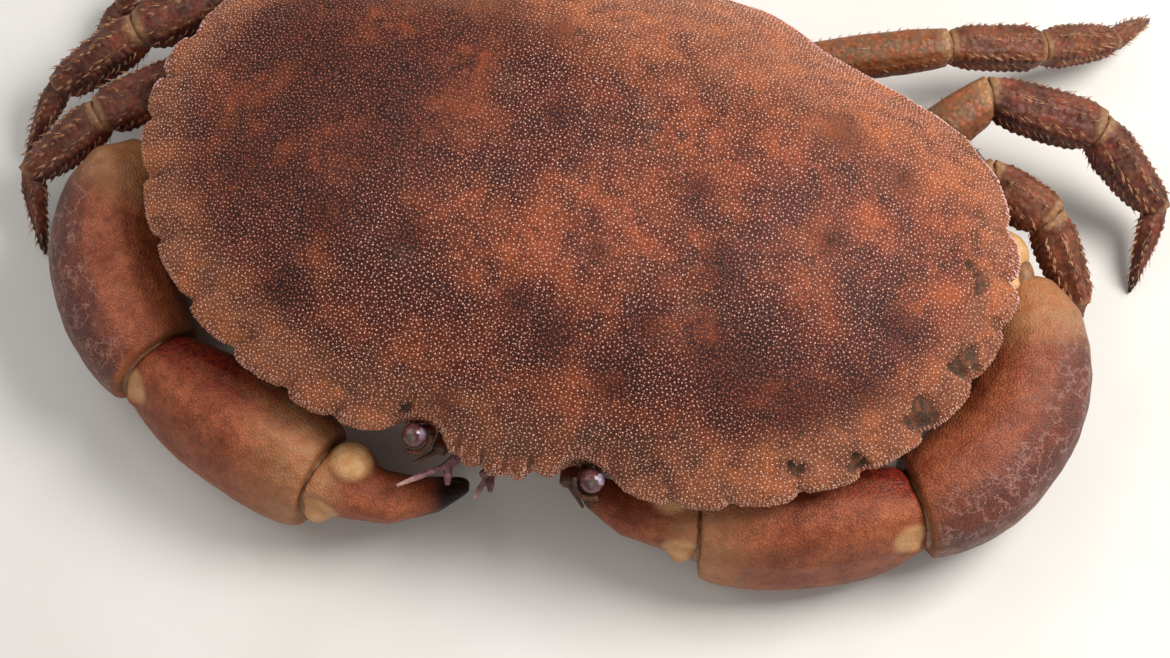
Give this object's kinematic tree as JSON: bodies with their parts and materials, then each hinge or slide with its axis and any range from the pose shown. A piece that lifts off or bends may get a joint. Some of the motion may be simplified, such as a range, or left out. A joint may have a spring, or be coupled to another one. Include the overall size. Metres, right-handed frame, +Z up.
{
  "type": "brown crab",
  "caption": "Still, life-size brown crab resting on its belly, with a wide oval pie-crust shell, heavy claws folded under the front edge and hairy walking legs drawn in.",
  "frame": {"origin": "centre of the crab's bounding box, on the floor it rests on", "axes": "+X to the crab's left side, -Y the way it faces, +Z up out of the back of its shell"},
  "size_m": [0.277, 0.1972, 0.0727],
  "materials": {
    "carapace_shell": "satin red-brown shell with pale granules",
    "belly_shell": "smooth cream underside shell",
    "claw_shell": "smooth pinkish-brown shell, black finger tips",
    "leg_shell": "rough red-brown shell with bristles",
    "eye": "glossy dark eye on a short stalk",
    "feeler": "purple-brown feelers"
  },
  "bodies": {
    "root": {"carapace": "carapace_shell", "underbody": "belly_shell", "abdomen": "belly_shell", "mouthparts": "belly_shell", "eye_left": "eye", "eye_right": "eye", "antenna_left": "feeler", "antenna_right": "feeler", "antennule_left": "feeler", "antennule_right": "feeler", "claw_base_left": "claw_shell", "claw_merus_left": "claw_shell", "claw_carpus_left": "claw_shell", "claw_palm_left": "claw_shell", "claw_dactyl_left": "claw_shell", "claw_base_right": "claw_shell", "claw_merus_right": "claw_shell", "claw_carpus_right": "claw_shell", "claw_palm_right": "claw_shell", "claw_dactyl_right": "claw_shell", "base_1_left": "leg_shell", "merus_1_left": "leg_shell", "carpus_1_left": "leg_shell", "propodus_1_left": "leg_shell", "dactyl_1_left": "leg_shell", "base_1_right": "leg_shell", "merus_1_right": "leg_shell", "carpus_1_right": "leg_shell", "propodus_1_right": "leg_shell", "dactyl_1_right": "leg_shell", "base_2_left": "leg_shell", "merus_2_left": "leg_shell", "carpus_2_left": "leg_shell", "propodus_2_left": "leg_shell", "dactyl_2_left": "leg_shell", "base_2_right": "leg_shell", "merus_2_right": "leg_shell", "carpus_2_right": "leg_shell", "propodus_2_right": "leg_shell", "dactyl_2_right": "leg_shell", "base_3_left": "leg_shell", "merus_3_left": "leg_shell", "carpus_3_left": "leg_shell", "propodus_3_left": "leg_shell", "dactyl_3_left": "leg_shell", "base_3_right": "leg_shell", "merus_3_right": "leg_shell", "carpus_3_right": "leg_shell", "propodus_3_right": "leg_shell", "dactyl_3_right": "leg_shell", "base_4_left": "leg_shell", "merus_4_left": "leg_shell", "carpus_4_left": "leg_shell", "propodus_4_left": "leg_shell", "dactyl_4_left": "leg_shell", "base_4_right": "leg_shell", "merus_4_right": "leg_shell", "carpus_4_right": "leg_shell", "propodus_4_right": "leg_shell", "dactyl_4_right": "leg_shell"}
  },
  "joints": []
}
